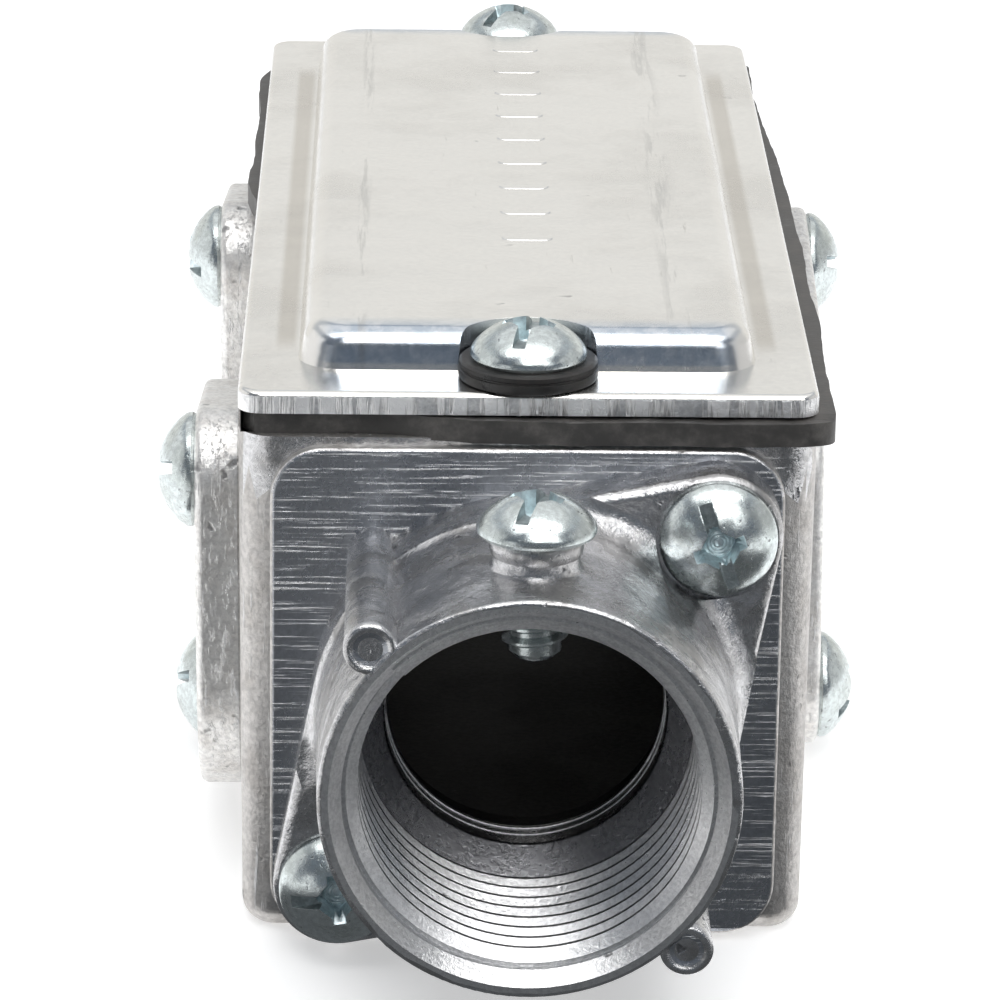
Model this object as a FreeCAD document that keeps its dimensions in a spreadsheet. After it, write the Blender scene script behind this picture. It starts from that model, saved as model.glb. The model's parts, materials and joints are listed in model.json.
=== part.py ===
import FreeCAD, Part
import math
import os
import re

import Sketcher

# Conduit body of the 3/4 inch trade size: a die-cast box with machined seats, two threaded hubs, three
# blank closures, and a stamped cover on a rubber gasket.
#
# Frame: millimetres. The origin is the centre of the underside, +Z up, +Y along the length, and the front
# hub points to -Y. Each seat has a frame of its own: its local X and Y lie in the seat, to the right and up
# as seen from outside, and its local Z points outward.

doc = FreeCAD.newDocument("conduit_body")

# --------------------------------------------------------------------------------------------------
# Driving dimensions
# --------------------------------------------------------------------------------------------------

SIZES = [
    # die-cast box
    ("body_length", 104.2),
    ("seat_side_gap", 2.7),
    ("seat_top_gap", 1.2),
    ("seat_foot_gap", 0.95),
    ("draft", 0.35),
    ("body_corner", 2.75),
    ("bottom_edge", 2.0),
    ("side_wall", 2.4),
    ("end_wall", 2.0),
    ("floor_wall", 2.4),
    ("cavity_corner", 2.0),
    # machined pads
    ("end_pad_margin", 2.4),
    ("end_pad_rise", 0.55),
    ("end_pad_corner", 4.0),
    ("end_pad_proud", 1.0),
    ("side_pad_proud", 0.2),
    ("pad_edge", 0.35),
    # the two-bolt seat shared by hubs and closures
    ("lobe_radius", 4.75),
    ("waist_margin", 0.7),
    ("side_seat_spacing", 56.4),
    ("opening_clearance", 0.45),
    # tapped bosses inside the box
    ("boss_wall", 1.95),
    ("seat_boss_depth", 6.0),
    ("cover_boss_depth", 9.2),
    # screws
    ("screw_radius", 2.4),
    ("thread_clearance", 0.05),
    ("hole_clearance", 0.25),
    ("head_radius", 4.3),
    ("head_height", 3.0),
    ("head_rim", 0.9),
    ("head_shoulder", 1.5),
    ("head_undercut", 0.35),
    ("slot_width", 1.1),
    ("slot_depth", 1.0),
    ("socket_width", 2.7),
    ("socket_depth", 1.9),
    ("screw_point", 0.5),
    ("seat_screw_length", 9.5),
    ("cover_screw_length", 12.7),
    ("set_screw_length", 9.2),
    # hub
    ("flange_thickness", 3.8),
    ("flange_edge", 0.8),
    ("hub_length", 20.8),
    ("barrel_wall", 1.7),
    ("barrel_draft_gain", 0.35),
    ("barrel_flare", 2.0),
    ("barrel_edge", 0.3),
    ("bore_radius", 13.3),
    ("entry_length", 3.9),
    ("entry_step", 0.25),
    ("mouth_gain", 0.9),
    ("mouth_depth", 1.2),
    ("shoulder_step", 2.95),
    ("throat_length", 3.25),
    ("throat_edge", 0.4),
    ("rib_radius", 1.87),
    ("rib_stand", 0.95),
    ("rib_step", 0.25),
    ("spot_margin", 0.25),
    ("spot_depth", 0.15),
    ("spot_wall", 1.6),
    ("set_boss_radius", 3.15),
    ("set_boss_rise", 2.2),
    ("set_boss_flare", 2.4),
    ("set_boss_sink", 1.6),
    ("set_screw_out", 13.0),
    ("set_screw_aside", 0.35),
    ("set_screw_lift", 0.2),
    # closures
    ("closure_thickness", 3.2),
    ("closure_edge", 0.6),
    # cover and its gasket
    ("gasket_thickness", 1.75),
    ("gasket_side_spread", 0.9),
    ("gasket_end_spread", 0.35),
    ("gasket_rim", 4.6),
    ("gasket_end_rim", 9.2),
    ("gasket_corner", 2.0),
    ("gasket_slip_side", 0.7),
    ("gasket_slip_end", -0.45),
    ("gasket_skew", -0.35),
    ("gasket_hole_clearance", 1.2),
    ("sheet_thickness", 1.65),
    ("cover_corner", 1.75),
    ("cover_screw_inset", 4.3),
    ("dome_side_margin", 4.2),
    ("dome_end_margin", 5.5),
    ("dome_corner", 6.5),
    ("dome_height", 2.9),
    ("dome_slope", 36.0),
    ("dome_crest_round", 1.9),
    ("dome_foot_round", 0.4),
    ("scallop_margin", 1.5),
    ("scallop_round", 3.0),
    ("washer_radius", 5.15),
    ("washer_thickness", 1.5),
]

FORMULAS = [
    # the hub's own radii follow its bore
    ("barrel_radius", "bore_radius + barrel_wall"),
    ("waist_radius", "barrel_radius + waist_margin"),
    ("rib_reach", "barrel_radius + rib_stand"),
    ("set_boss_top", "barrel_radius + set_boss_rise"),
    ("mouth_radius", "bore_radius + mouth_gain"),
    ("thread_wall_radius", "bore_radius - entry_step"),
    ("throat_radius", "bore_radius - shoulder_step"),
    # the flange screws stand clear of the bore, and the box is as high and wide as its seats need
    ("spot_radius", "head_radius + spot_margin"),
    ("bolt_reach", "(bore_radius + spot_wall + spot_radius) / sqrt(2)"),
    ("seat_reach", "bolt_reach + lobe_radius"),
    ("seat_height", "seat_foot_gap + seat_reach"),
    ("body_height", "seat_height + seat_reach + seat_top_gap"),
    ("body_width", "2 * (seat_reach + seat_side_gap)"),
    ("half_width", "body_width / 2"),
    ("half_length", "body_length / 2"),
    ("end_seat", "half_length + end_pad_proud"),
    ("side_seat", "half_width + side_pad_proud"),
    ("boss_radius", "screw_radius + boss_wall"),
    ("tapped_radius", "screw_radius + thread_clearance"),
    ("hole_radius", "screw_radius + hole_clearance"),
    ("opening_radius", "throat_radius + opening_clearance"),
    # a pan head: a shoulder arc from the rim, and a crown arc that touches it
    ("head_flat", "head_radius - head_shoulder"),
    ("head_rise", "head_height - head_rim"),
    ("crown_radius", "(head_flat * head_flat + head_rise * head_rise - head_shoulder * head_shoulder)"
                     " / (2 * (head_rise - head_shoulder))"),
    ("crown_ratio", "crown_radius / (crown_radius - head_shoulder)"),
    # direction of the seat outline's straight sides, measured from the line through the two bolts
    ("lobe_turn", "acos((waist_radius - lobe_radius) / (bolt_reach * sqrt(2))) / 1 deg"),
    ("gasket_half_width", "half_width + gasket_side_spread"),
    ("gasket_half_length", "half_length + gasket_end_spread"),
    ("gasket_top", "body_height + gasket_thickness"),
    ("cover_top", "gasket_top + sheet_thickness"),
    ("cover_screw_seat", "cover_top + washer_thickness"),
    ("cover_screw_place", "half_length - cover_screw_inset"),
]


def make_sheet():
    """The spreadsheet with the driving dimensions, then those worked out from them."""
    sheet = doc.addObject("Spreadsheet::Sheet", "Dims")
    rows = [(alias, str(size)) for alias, size in SIZES]
    rows += [(alias, "=" + formula) for alias, formula in FORMULAS]
    for row, (alias, content) in enumerate(rows, start=1):
        sheet.set("A%d" % row, alias)
        sheet.set("B%d" % row, content)
        sheet.setAlias("B%d" % row, alias)
    doc.recompute()
    return sheet


ALIASES = {alias for alias, _ in SIZES + FORMULAS}
dims = make_sheet()


def rule(formula):
    """A formula in the sheet's own words, as an expression that any object of the document can hold."""
    def named(word):
        return "Dims." + word.group() if word.group() in ALIASES else word.group()
    return re.sub(r"[a-z_]+", named, str(formula))


def size(formula):
    """The present value of a formula."""
    return float(FreeCAD.Units.Quantity(dims.evalExpression(rule(formula))).Value)


# --------------------------------------------------------------------------------------------------
# Sketches: every point and radius is held by a constraint that reads the sheet
# --------------------------------------------------------------------------------------------------

X_AXIS, Y_AXIS, Z_AXIS = FreeCAD.Vector(1, 0, 0), FreeCAD.Vector(0, 1, 0), FreeCAD.Vector(0, 0, 1)
START, END, CENTRE = range(1, 4)
ORIGIN = -1


def hold(sketch, kind, where, formula):
    index = sketch.addConstraint(Sketcher.Constraint(kind, *where, size(formula)))
    name = "%s%d" % (kind.lower(), index)
    sketch.renameConstraint(index, name)
    sketch.setExpression("Constraints." + name, rule(formula))


def hold_point(sketch, edge, which, x, y):
    hold(sketch, "DistanceX", (ORIGIN, START, edge, which), x)
    hold(sketch, "DistanceY", (ORIGIN, START, edge, which), y)


def circle(sketch, x, y, radius):
    centre = FreeCAD.Vector(size(x), size(y), 0)
    edge = sketch.addGeometry(Part.Circle(centre, Z_AXIS, size(radius)))
    hold_point(sketch, edge, CENTRE, x, y)
    hold(sketch, "Radius", (edge,), radius)


def outline(sketch, nodes):
    """A closed outline through nodes (x, y) or (x, y, bend). The bend belongs to the edge that leaves the
    node: a radius that turns left, or right where it is written with a minus."""
    points = [FreeCAD.Vector(size(node[0]), size(node[1]), 0) for node in nodes]
    edges = []
    for place, node in enumerate(nodes):
        a, b = points[place], points[(place + 1) % len(nodes)]
        if len(node) == 2:
            edges.append((sketch.addGeometry(Part.LineSegment(a, b)), START, END))
            continue
        left = not str(node[2]).startswith("-")
        radius = size(str(node[2]).lstrip("-"))
        chord = b - a
        side = FreeCAD.Vector(-chord.y, chord.x, 0).normalize() * (1 if left else -1)
        centre = (a + b) / 2 + side * math.sqrt(max(radius ** 2 - (chord.Length / 2) ** 2, 0))
        first, last = (a, b) if left else (b, a)
        turn = [math.atan2(p.y - centre.y, p.x - centre.x) for p in (first, last)]
        arc = Part.ArcOfCircle(Part.Circle(centre, Z_AXIS, radius), *turn)
        edges.append((sketch.addGeometry(arc), START if left else END, END if left else START))
        hold(sketch, "Radius", (edges[-1][0],), str(node[2]).lstrip("-"))
    for place, (edge, head, tail) in enumerate(edges):
        hold_point(sketch, edge, head, *nodes[place][:2])
        following, its_head, _ = edges[(place + 1) % len(edges)]
        sketch.addConstraint(Sketcher.Constraint("Coincident", edge, tail, following, its_head))


def box_outline(sketch, x, y, half_x, half_y, corner):
    """A rectangle round (x, y) with round corners."""
    right, left = "%s + (%s)" % (x, half_x), "%s - (%s)" % (x, half_x)
    high, low = "%s + (%s)" % (y, half_y), "%s - (%s)" % (y, half_y)
    outline(sketch, [
        ("%s + %s" % (left, corner), low), ("%s - %s" % (right, corner), low, corner),
        (right, "%s + %s" % (low, corner)), (right, "%s - %s" % (high, corner), corner),
        ("%s - %s" % (right, corner), high), ("%s + %s" % (left, corner), high, corner),
        (left, "%s - %s" % (high, corner)), (left, "%s + %s" % (low, corner), corner)])


def seat_outline(sketch, x, y, grow="0"):
    """The two-bolt outline: a round waist and two lobes, upper right and lower left, joined by tangents."""
    def point(along, radius, angle):
        reach = "(%s + %s)" % (radius, grow)
        return ("%s + %s * bolt_reach + %s * cos(%s)" % (x, along, reach, angle),
                "%s + %s * bolt_reach + %s * sin(%s)" % (y, along, reach, angle))
    lobe, waist = "lobe_radius + " + grow, "waist_radius + " + grow
    outline(sketch, [
        (*point("1", "lobe_radius", "45 - lobe_turn"), lobe),
        point("1", "lobe_radius", "45 + lobe_turn"),
        (*point("0", "waist_radius", "45 + lobe_turn"), waist),
        point("0", "waist_radius", "225 - lobe_turn"),
        (*point("-1", "lobe_radius", "225 - lobe_turn"), lobe),
        point("-1", "lobe_radius", "225 + lobe_turn"),
        (*point("0", "waist_radius", "225 + lobe_turn"), waist),
        point("0", "waist_radius", "45 - lobe_turn")])


# --------------------------------------------------------------------------------------------------
# Features
# --------------------------------------------------------------------------------------------------


def new_body(name):
    return doc.addObject("PartDesign::Body", name)


def origin_feature(body, role):
    return next(part for part in body.Origin.OriginFeatures if part.Role == role)


def new_sketch(body, role, offset=None, turn=0.0):
    """A sketch on an origin plane. offset holds formulas for its shift in the plane's own axes, and turn
    turns it about the plane's own Y axis."""
    sketch = body.newObject("Sketcher::SketchObject", body.Name + "_sketch")
    sketch.AttachmentSupport = (origin_feature(body, role), [""])
    sketch.MapMode = "FlatFace"
    sketch.AttachmentOffset = FreeCAD.Placement(FreeCAD.Vector(), FreeCAD.Rotation(Y_AXIS, turn))
    for axis, formula in (offset or {}).items():
        sketch.setExpression("AttachmentOffset.Base." + axis, rule(formula))
    return sketch


def extrude(body, kind, sketch, length, reverse=False, taper=None):
    """A Pad or a Pocket. A Pad follows the sketch's normal and a Pocket goes against it, unless reversed."""
    feature = body.newObject("PartDesign::" + kind, body.Name + "_" + kind.lower())
    feature.Profile = sketch
    feature.Reversed = reverse
    feature.setExpression("Length", rule(length))
    if taper:
        feature.setExpression("TaperAngle", rule(taper))
    doc.recompute()
    return feature


def spin(body, kind, sketch, axis="V_Axis"):
    """A Revolution or a Groove of a full turn about one of the sketch's axes."""
    feature = body.newObject("PartDesign::" + kind, body.Name + "_" + kind.lower())
    feature.Profile = sketch
    feature.ReferenceAxis = (sketch, [axis])
    feature.Angle = 360
    doc.recompute()
    return feature


def round_edges(body, radius, chosen):
    """A Fillet on the edges of the body's present shape for which chosen(edge) is true."""
    base = body.Tip
    names = ["Edge%d" % (n + 1) for n, edge in enumerate(base.Shape.Edges) if chosen(edge)]
    if not names:
        raise RuntimeError("no edges to round on " + body.Name)
    fillet = body.newObject("PartDesign::Fillet", body.Name + "_fillet")
    fillet.Base = (base, names)
    fillet.setExpression("Radius", rule(radius))
    doc.recompute()
    return fillet


SAME_PLACE = 1e-4


def near(a, b):
    return abs(a - b) < SAME_PLACE


def lies_at(edge, axis, place):
    """Whether a whole edge lies in the plane where one coordinate has the given value."""
    box = edge.BoundBox
    return near(getattr(box, axis + "Min"), place) and near(getattr(box, axis + "Max"), place)


def place(body, x="0", y="0", z="0", turn=FreeCAD.Rotation()):
    body.Placement = FreeCAD.Placement(FreeCAD.Vector(), turn)
    for axis, formula in zip("xyz", (x, y, z)):
        body.setExpression("Placement.Base." + axis, rule(formula))


# --------------------------------------------------------------------------------------------------
# Seats: where hubs and closures are bolted on
# --------------------------------------------------------------------------------------------------


class Seat:
    """turn is the seat's heading about Z, 0 for the front. reach is the seat's distance from the middle of
    the body, and along is its centre's shift to the right, as seen from outside."""

    def __init__(self, name, turn, reach, along="0"):
        self.name, self.turn, self.reach, self.along = name, turn, reach, along
        self.out = (round(math.sin(math.radians(turn))), -round(math.cos(math.radians(turn))))
        self.right = (-self.out[1], self.out[0])

    def rotation(self):
        return FreeCAD.Rotation(Z_AXIS, self.turn) * FreeCAD.Rotation(X_AXIS, 90)

    def spot(self, right="0", up="0", out="0"):
        """Formulas for a point given in the seat's own frame."""
        x, y = ("%d * (%s + %s) + %d * (%s + %s)" % (r, self.along, right, o, self.reach, out)
                for r, o in zip(self.right, self.out))
        return {"x": x, "y": y, "z": "seat_height + " + up}

    def sketch(self, body, back="0"):
        """A sketch in the seat's plane, or set back from it. Its origin is at the foot of that plane."""
        depth = "%s - (%s)" % (self.reach, back)
        offset = {"x": "%d * (%s)" % (self.out[0], depth), "z": "%d * (%s)" % (-self.out[1], depth)}
        return new_sketch(body, "XZ_Plane", offset, self.turn)


FRONT = Seat("front", 0, "end_seat")
REAR = Seat("rear", 180, "end_seat")
LEFT_FRONT = Seat("left_front", -90, "side_seat", "side_seat_spacing / 2")
LEFT_REAR = Seat("left_rear", -90, "side_seat", "-side_seat_spacing / 2")
RIGHT = Seat("right", 90, "side_seat")
SIDE_SEATS = (LEFT_FRONT, LEFT_REAR, RIGHT)
END_SEATS = (FRONT, REAR)
BOLTS = (("upper", "1"), ("lower", "-1"))


# --------------------------------------------------------------------------------------------------
# Sub-parts
# --------------------------------------------------------------------------------------------------


def make_box():
    """The die-cast box: open at the top, tapering downward, with tapped bosses behind every seat."""
    body = new_body("body")

    # outer block, drawn at the top and drafted on its way down
    block = new_sketch(body, "XY_Plane", {"z": "body_height"})
    box_outline(block, "0", "0", "half_width", "half_length", "body_corner")
    extrude(body, "Pad", block, "body_height", reverse=True, taper="-draft")
    round_edges(body, "bottom_edge", lambda edge: lies_at(edge, "Z", 0))

    # milled pads on both ends
    for seat in END_SEATS:
        pad = seat.sketch(body)
        box_outline(pad, "0", "body_height / 2", "half_width - end_pad_margin",
                    "body_height / 2 - end_pad_rise", "end_pad_corner")
        extrude(body, "Pad", pad, "end_pad_proud + end_wall / 2", reverse=True)
    front, rear = -size("end_seat"), size("end_seat")
    round_edges(body, "pad_edge", lambda edge: lies_at(edge, "Y", front) or lies_at(edge, "Y", rear))

    # closure seats on the sides
    for seat in SIDE_SEATS:
        pad = seat.sketch(body)
        seat_outline(pad, seat.along, "seat_height", "side_pad_proud")
        extrude(body, "Pad", pad, "side_pad_proud + side_wall / 2", reverse=True)

    # wireway
    cavity = new_sketch(body, "XY_Plane", {"z": "body_height"})
    box_outline(cavity, "0", "0", "half_width - side_wall", "half_length - end_wall", "cavity_corner")
    extrude(body, "Pocket", cavity, "body_height - floor_wall")

    # bosses for the cover screws, against the end walls
    for sign, bend in (("", "boss_radius"), ("-", "-boss_radius")):
        boss = new_sketch(body, "XY_Plane", {"z": "body_height"})
        wall, middle = sign + "(half_length - end_wall / 2)", sign + "cover_screw_place"
        outline(boss, [
            ("boss_radius", wall),
            ("-boss_radius", wall),
            ("-boss_radius", middle, bend),
            ("0", sign + "(cover_screw_place - boss_radius)", bend),
            ("boss_radius", middle)])
        extrude(body, "Pad", boss, "cover_boss_depth", reverse=True)

    # bosses for the hub and closure screws, each with a web to the nearest corner of the box
    for seat in END_SEATS + SIDE_SEATS:
        wall = "end_wall" if seat in END_SEATS else "side_wall"
        skin = "%s + %s / 2" % ("end_pad_proud" if seat in END_SEATS else "side_pad_proud", wall)
        for _, side in BOLTS:
            boss = seat.sketch(body, back=skin)
            circle(boss, "%s + %s * bolt_reach" % (seat.along, side), "seat_height + %s * bolt_reach" % side,
                   "boss_radius")
            extrude(body, "Pad", boss, "%s / 2 + seat_boss_depth" % wall, reverse=True)

    # openings and tapped holes
    for seat in END_SEATS + SIDE_SEATS:
        wall = "end_pad_proud + end_wall" if seat in END_SEATS else "side_pad_proud + side_wall"
        opening = seat.sketch(body)
        circle(opening, seat.along, "seat_height", "opening_radius")
        extrude(body, "Pocket", opening, wall)
        holes = seat.sketch(body)
        for _, side in BOLTS:
            circle(holes, "%s + %s * bolt_reach" % (seat.along, side), "seat_height + %s * bolt_reach" % side,
                   "tapped_radius")
        extrude(body, "Pocket", holes, wall + " + seat_boss_depth")
    holes = new_sketch(body, "XY_Plane", {"z": "body_height"})
    for sign in ("", "-"):
        circle(holes, "0", sign + "cover_screw_place", "tapped_radius")
    extrude(body, "Pocket", holes, "cover_boss_depth")
    return body


def make_hub(seat):
    """A threaded hub on its two-bolt flange. Local frame: the flange's back is in XY, the bore along Z."""
    body = new_body(seat.name + "_hub")

    # flange
    flange = new_sketch(body, "XY_Plane")
    seat_outline(flange, "0", "0")
    extrude(body, "Pad", flange, "flange_thickness")
    top = size("flange_thickness")
    round_edges(body, "flange_edge", lambda edge: lies_at(edge, "Z", top))

    # barrel with a flared root
    barrel = new_sketch(body, "XZ_Plane")
    root = "barrel_radius + barrel_draft_gain"
    outline(barrel, [
        ("0", "flange_thickness / 2"),
        (root + " + barrel_flare", "flange_thickness / 2"),
        (root + " + barrel_flare", "flange_thickness", "-barrel_flare"),
        (root, "flange_thickness + barrel_flare"),
        ("barrel_radius", "hub_length - barrel_edge", "barrel_edge"),
        ("barrel_radius - barrel_edge", "hub_length"),
        ("0", "hub_length")])
    spin(body, "Revolution", barrel)

    # the flare keeps within the flange's outline
    trim = new_sketch(body, "XY_Plane", {"z": "flange_thickness / 4"})
    seat_outline(trim, "0", "0")
    reach = "2 * waist_radius"
    outline(trim, [("-" + reach, "-" + reach), (reach, "-" + reach), (reach, reach), ("-" + reach, reach)])
    extrude(body, "Pocket", trim, "flange_thickness + barrel_flare", reverse=True)

    # two ribs along the barrel, where the ejector pins push
    ribs = new_sketch(body, "XY_Plane")
    for sign in ("", "-"):
        across = "%srib_reach / sqrt(2)" % sign
        circle(ribs, "-1 * " + across, across, "rib_radius")
    extrude(body, "Pad", ribs, "hub_length - rib_step")

    # boss for the set screw, flared into the barrel
    boss = new_sketch(body, "XY_Plane", {"x": "set_screw_aside", "z": "set_screw_out"})
    foot = "barrel_radius - set_boss_sink"
    outline(boss, [
        ("0", foot),
        ("set_boss_radius + set_boss_flare", foot, "-set_boss_flare"),
        ("set_boss_radius", foot + " + set_boss_flare"),
        ("set_boss_radius", "set_boss_top"),
        ("0", "set_boss_top")])
    spin(body, "Revolution", boss)

    # spot faces for the flange screws' heads, cut along the whole barrel
    spots = new_sketch(body, "XY_Plane", {"z": "flange_thickness - spot_depth"})
    for _, side in BOLTS:
        circle(spots, side + " * bolt_reach", side + " * bolt_reach", "spot_radius")
    extrude(body, "Pocket", spots, "hub_length", reverse=True)

    # bore: throat, shoulder, thread wall, entry and lead-in
    bore = new_sketch(body, "XZ_Plane")
    shoulder = "throat_length + thread_wall_radius - throat_radius"
    entry = "hub_length - mouth_depth - entry_length"
    outline(bore, [
        ("0", "0"),
        ("throat_radius", "0"),
        ("throat_radius", "throat_length"),
        ("thread_wall_radius", shoulder),
        ("thread_wall_radius", entry),
        ("bore_radius", entry),
        ("bore_radius", "hub_length - mouth_depth"),
        ("mouth_radius", "hub_length"),
        ("0", "hub_length")])
    spin(body, "Groove", bore)
    lip = size("throat_length")
    round_edges(body, "throat_edge", lambda edge: lies_at(edge, "Z", lip))

    # holes for the flange screws and the set screw
    holes = new_sketch(body, "XY_Plane")
    for _, side in BOLTS:
        circle(holes, side + " * bolt_reach", side + " * bolt_reach", "hole_radius")
    extrude(body, "Pocket", holes, "flange_thickness", reverse=True)
    tapped = new_sketch(body, "XZ_Plane", {"z": "-set_boss_top"})
    circle(tapped, "set_screw_aside", "set_screw_out", "tapped_radius")
    extrude(body, "Pocket", tapped, "set_boss_top", reverse=True)

    place(body, **seat.spot(), turn=seat.rotation())
    return body


def make_closure(seat):
    """A blank closure: the same flange with no barrel."""
    body = new_body(seat.name + "_closure")
    plate = new_sketch(body, "XY_Plane")
    seat_outline(plate, "0", "0")
    extrude(body, "Pad", plate, "closure_thickness")
    top = size("closure_thickness")
    round_edges(body, "closure_edge", lambda edge: lies_at(edge, "Z", top))
    holes = new_sketch(body, "XY_Plane")
    for _, side in BOLTS:
        circle(holes, side + " * bolt_reach", side + " * bolt_reach", "hole_radius")
    extrude(body, "Pocket", holes, "closure_thickness", reverse=True)
    place(body, **seat.spot(), turn=seat.rotation())
    return body


def make_screw(name, length, drive_turn):
    """A pan-head machine screw with a combination drive. Local frame: the head's underside is in XY, and
    the shank points to -Z. drive_turn is the slot's direction."""
    body = new_body(name)
    profile = new_sketch(body, "XZ_Plane")
    outline(profile, [
        ("0", "-" + length),
        ("screw_radius - screw_point", "-" + length),
        ("screw_radius", "screw_point - " + length),
        ("screw_radius", "0"),
        ("head_radius - head_undercut", "0"),
        ("head_radius", "head_undercut"),
        ("head_radius", "head_rim", "head_shoulder"),
        ("head_flat * crown_ratio", "head_height - crown_radius + (crown_radius - head_rise) * crown_ratio",
         "crown_radius"),
        ("0", "head_height")])
    spin(body, "Revolution", profile)
    drive = new_sketch(body, "XY_Plane", {"z": "head_height"})
    box_outline(drive, "0", "0", "head_radius + slot_width", "slot_width / 2", "slot_width / 4")
    extrude(body, "Pocket", drive, "slot_depth")
    socket = new_sketch(body, "XY_Plane", {"z": "head_height"})
    box_outline(socket, "0", "0", "socket_width / 2", "socket_width / 2", "socket_width / 8")
    extrude(body, "Pocket", socket, "socket_depth")
    return body, FreeCAD.Rotation(Z_AXIS, drive_turn)


def dome_outline(sketch, inset):
    """The raised panel's foot, with a scallop round each cover screw. inset draws it smaller."""
    side, end = "half_width - dome_side_margin - " + inset, "half_length - dome_end_margin - " + inset
    corner = "dome_corner - " + inset
    scallop = "washer_radius + scallop_margin + " + inset
    blend = "scallop_round - " + inset
    # the scallop's blending arcs: their centres lie one blend inside the end, and touch the scallop
    drop = "(cover_screw_place - (%s) + %s)" % (end, blend)
    aside = "sqrt((%s + %s) * (%s + %s) - %s * %s)" % (scallop, blend, scallop, blend, drop, drop)
    ratio = "(%s) / (%s + %s)" % (scallop, scallop, blend)
    touch_x, touch_y = "%s * %s" % (aside, ratio), "cover_screw_place - %s * %s" % (drop, ratio)

    def end_nodes(along, sign):
        """Nodes of one end, from its first corner to its last; along is the direction of travel on X."""
        def node(x, y, *bend):
            return ("%s(%s)" % (along, x), "%s(%s)" % (sign, y), *bend)
        back = "-1 * "
        return [
            node(back + "(%s)" % side, "%s - (%s)" % (end, corner), corner),
            node(back + "(%s - (%s))" % (side, corner), end),
            node(back + aside, end, blend),
            node(back + touch_x, touch_y, "-(%s)" % scallop),
            node(touch_x, touch_y, blend),
            node(aside, end),
            node("%s - (%s)" % (side, corner), end, corner),
            node(side, "%s - (%s)" % (end, corner))]

    outline(sketch, end_nodes("", "-1 * ") + end_nodes("-1 * ", ""))


def make_cover():
    """The stamped cover: one sheet, raised in the middle, with the hollow of the stamping below."""
    body = new_body("cover")
    plate = new_sketch(body, "XY_Plane")
    box_outline(plate, "0", "0", "half_width", "half_length", "cover_corner")
    extrude(body, "Pad", plate, "sheet_thickness")

    panel = new_sketch(body, "XY_Plane", {"z": "sheet_thickness"})
    dome_outline(panel, "0")
    extrude(body, "Pad", panel, "dome_height", taper="-dome_slope")
    crest, foot = size("sheet_thickness + dome_height"), size("sheet_thickness")
    dome_side, dome_end = size("half_width - dome_side_margin / 2"), size("half_length - dome_end_margin / 2")

    def on_dome(edge):
        box = edge.BoundBox
        return box.XMax < dome_side and box.XMin > -dome_side and box.YMax < dome_end and box.YMin > -dome_end
    round_edges(body, "dome_crest_round", lambda edge: lies_at(edge, "Z", crest))
    round_edges(body, "dome_foot_round", lambda edge: lies_at(edge, "Z", foot) and on_dome(edge))

    hollow = new_sketch(body, "XY_Plane")
    dome_outline(hollow, "sheet_thickness / 2")
    extrude(body, "Pocket", hollow, "dome_height", reverse=True, taper="-dome_slope")

    holes = new_sketch(body, "XY_Plane")
    for sign in ("", "-"):
        circle(holes, "0", sign + "cover_screw_place", "hole_radius")
    extrude(body, "Pocket", holes, "sheet_thickness", reverse=True)
    place(body, z="gasket_top")
    return body


def make_gasket():
    """The cover's rubber gasket, which has crept sideways under the cover."""
    body = new_body("cover_gasket")
    frame = new_sketch(body, "XY_Plane")
    box_outline(frame, "0", "0", "gasket_half_width", "gasket_half_length", "gasket_corner")
    box_outline(frame, "0", "0", "gasket_half_width - gasket_rim", "gasket_half_length - gasket_end_rim",
                "gasket_corner")
    for sign in ("", "-"):
        circle(frame, "0", sign + "cover_screw_place", "screw_radius + gasket_hole_clearance")
    extrude(body, "Pad", frame, "gasket_thickness")
    place(body, "gasket_slip_side", "gasket_slip_end", "body_height",
          FreeCAD.Rotation(Z_AXIS, size("gasket_skew")))
    return body


def make_washer(name):
    """The black washer under a cover screw."""
    body = new_body(name)
    ring = new_sketch(body, "XY_Plane")
    circle(ring, "0", "0", "washer_radius")
    circle(ring, "0", "0", "hole_radius")
    extrude(body, "Pad", ring, "washer_thickness")
    return body


make_box()
for seat in END_SEATS:
    make_hub(seat)
for seat in SIDE_SEATS:
    make_closure(seat)

# directions of the drive slots, as the screws came to rest
SEAT_DRIVE_TURNS = iter((100, 35, 60, 15, 80, 140, 25, 110, 50, 95))
SET_DRIVE_TURN = 75
COVER_DRIVE_TURNS = {"front": 83, "rear": 120}

for seat in END_SEATS + SIDE_SEATS:
    if seat in END_SEATS:
        part, lift = "hub", "flange_thickness - spot_depth"
    else:
        part, lift = "closure", "closure_thickness"
    for level, side in BOLTS:
        name = "%s_%s_screw_%s" % (seat.name, part, level)
        screw, turn = make_screw(name, "seat_screw_length", next(SEAT_DRIVE_TURNS))
        reach = side + " * bolt_reach"
        place(screw, **seat.spot(reach, reach, lift), turn=seat.rotation() * turn)

for seat in END_SEATS:
    screw, turn = make_screw(seat.name + "_set_screw", "set_screw_length", SET_DRIVE_TURN)
    place(screw, **seat.spot("set_screw_aside", "set_boss_top + set_screw_lift", "set_screw_out"), turn=turn)

make_gasket()
make_cover()
for end, sign in (("front", "-"), ("rear", "")):
    washer = make_washer("cover_washer_" + end)
    place(washer, y=sign + "cover_screw_place", z="cover_top")
    screw, turn = make_screw("cover_screw_" + end, "cover_screw_length", COVER_DRIVE_TURNS[end])
    place(screw, y=sign + "cover_screw_place", z="cover_screw_seat", turn=turn)

# --------------------------------------------------------------------------------------------------
# Check and export
# --------------------------------------------------------------------------------------------------

doc.recompute()
for item in doc.Objects:
    if {"Invalid", "Error"} & set(item.State):
        raise RuntimeError("%s is %s" % (item.Label, item.State))

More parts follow.
